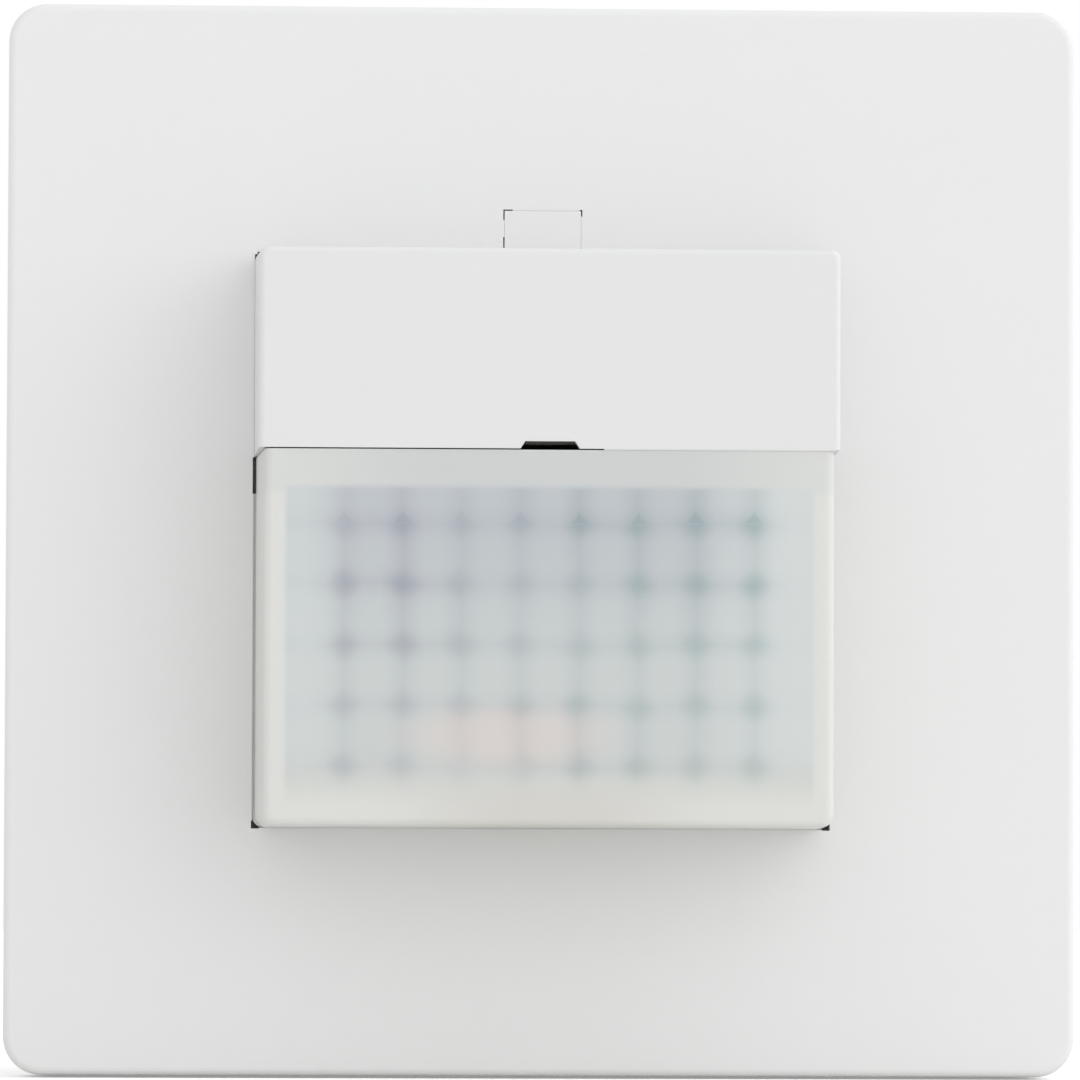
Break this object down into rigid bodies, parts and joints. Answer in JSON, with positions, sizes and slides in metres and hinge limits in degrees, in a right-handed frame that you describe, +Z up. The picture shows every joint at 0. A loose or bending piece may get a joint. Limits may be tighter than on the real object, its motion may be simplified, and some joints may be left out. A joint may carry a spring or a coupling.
{
  "type": "infrared motion sensor",
  "caption": "Flush-mounted infrared motion sensor with square cover plate, hooded milky facet lens, setting dials and a claw-fixed insert for a round wall box.",
  "frame": {"origin": "middle of the wall box on the wall's surface, which is the rear face of the mounting ring", "axes": "+X to the right seen from the room, +Y into the wall, +Z up"},
  "size_m": [0.081, 0.0545, 0.081],
  "materials": {
    "housing_white": "satin, fine moulded texture",
    "lens_milky": "milky translucent, satin",
    "chassis_grey": "satin",
    "dial_grey": "satin",
    "insert_plastic": "matt",
    "black_plastic": "matt",
    "relay_blue": "gloss",
    "capacitor_yellow": "gloss",
    "capacitor_sleeve": "gloss",
    "varistor_blue": "lacquered",
    "fuse_ceramic": "glazed",
    "choke_ferrite": "matt",
    "circuit_board": "solder mask",
    "clear_lens": "clear, gloss",
    "led_red": "tinted, gloss",
    "sensor_can": "nickel plated",
    "filter_silicon": "dark polished",
    "zinc_steel": "zinc plated",
    "spring_steel": "polished strip",
    "screw_steel": "zinc plated",
    "contact_brass": "satin"
  },
  "bodies": {
    "insert": {"mounting_ring": "zinc_steel", "ring_screws": "screw_steel", "insert_housing": "insert_plastic", "rear_cover": "insert_plastic", "power_board": "circuit_board", "socket_header": "black_plastic", "relay": "relay_blue", "mains_capacitor": "capacitor_yellow", "smoothing_capacitor": "capacitor_sleeve", "varistor": "varistor_blue", "fuse": "fuse_ceramic", "choke": "choke_ferrite", "terminal_clamps": "contact_brass"},
    "sensor_head": {"head_chassis": "chassis_grey", "lens_window": "lens_milky", "retaining_springs": "spring_steel", "time_potentiometer": "black_plastic", "lux_potentiometer": "black_plastic", "sensor_board": "circuit_board", "sensor_board_screws": "screw_steel", "sensor_holder": "black_plastic", "left_pyro_sensor": "sensor_can", "right_pyro_sensor": "sensor_can", "pyro_filters": "filter_silicon", "light_sensor": "clear_lens", "status_led": "led_red", "plug_header": "black_plastic", "plug_pins": "contact_brass", "tab_spring": "spring_steel"},
    "plate": {"cover_plate": "housing_white"},
    "hood": {"hood_cap": "housing_white"},
    "tab": {"release_tab": "housing_white"},
    "time_setting": {"time_dial": "dial_grey"},
    "lux_setting": {"lux_dial": "dial_grey"},
    "claw_left": {"left_claw": "zinc_steel"},
    "claw_right": {"right_claw": "zinc_steel"},
    "claw_screw_left": {"left_claw_screw": "screw_steel"},
    "claw_screw_right": {"right_claw_screw": "screw_steel"},
    "clamp_screw_1": {"terminal_screw_1": "screw_steel"},
    "clamp_screw_2": {"terminal_screw_2": "screw_steel"},
    "clamp_screw_3": {"terminal_screw_3": "screw_steel"}
  },
  "joints": [
    {"name": "head_lift_off", "type": "slide", "parent": "insert", "child": "sensor_head", "axis": [0, -1, 0], "range_m": [0, 0.035]},
    {"name": "plate_lift_off", "type": "slide", "parent": "sensor_head", "child": "plate", "axis": [0, -1, 0], "range_m": [0, 0.03]},
    {"name": "hood_lift_off", "type": "slide", "parent": "sensor_head", "child": "hood", "axis": [0, -1, 0], "range_m": [0, 0.02]},
    {"name": "tab_press", "type": "slide", "parent": "sensor_head", "child": "tab", "axis": [0, 1, 0], "range_m": [0, 0.0012], "stiffness_N_per_m": 400, "deforming": ["tab_spring"]},
    {"name": "time_dial_turn", "type": "hinge", "parent": "sensor_head", "child": "time_setting", "pos_m": [-0.0095, -0.018, 0.0135], "axis": [0, -1, 0], "range_deg": [-135, 135]},
    {"name": "lux_dial_turn", "type": "hinge", "parent": "sensor_head", "child": "lux_setting", "pos_m": [0.0095, -0.018, 0.0135], "axis": [0, -1, 0], "range_deg": [-135, 135]},
    {"name": "left_claw_screw_turn", "type": "hinge", "parent": "insert", "child": "claw_screw_left", "pos_m": [-0.0244, 0, 0], "axis": [0, -1, 0], "range_deg": [0, 1800]},
    {"name": "right_claw_screw_turn", "type": "hinge", "parent": "insert", "child": "claw_screw_right", "pos_m": [0.0244, 0, 0], "axis": [0, -1, 0], "range_deg": [0, 1800]},
    {"name": "left_claw_spread", "type": "hinge", "parent": "insert", "child": "claw_left", "pos_m": [-0.0214, 0.0038, 0], "axis": [0, 0, 1], "range_deg": [0, 20]},
    {"name": "right_claw_spread", "type": "hinge", "parent": "insert", "child": "claw_right", "pos_m": [0.0214, 0.0038, 0], "axis": [0, 0, -1], "range_deg": [0, 20]},
    {"name": "terminal_screw_1_turn", "type": "hinge", "parent": "insert", "child": "clamp_screw_1", "pos_m": [-0.0096, 0.02657, 0.019], "axis": [0, 0, 1], "continuous": true},
    {"name": "terminal_screw_2_turn", "type": "hinge", "parent": "insert", "child": "clamp_screw_2", "pos_m": [0, 0.02657, 0.019], "axis": [0, 0, 1], "continuous": true},
    {"name": "terminal_screw_3_turn", "type": "hinge", "parent": "insert", "child": "clamp_screw_3", "pos_m": [0.0096, 0.02657, 0.019], "axis": [0, 0, 1], "continuous": true}
  ],
  "couplings": [
    {"joint": "left_claw_spread", "follows": "left_claw_screw_turn", "ratio": 0.011111},
    {"joint": "right_claw_spread", "follows": "right_claw_screw_turn", "ratio": 0.011111}
  ]
}
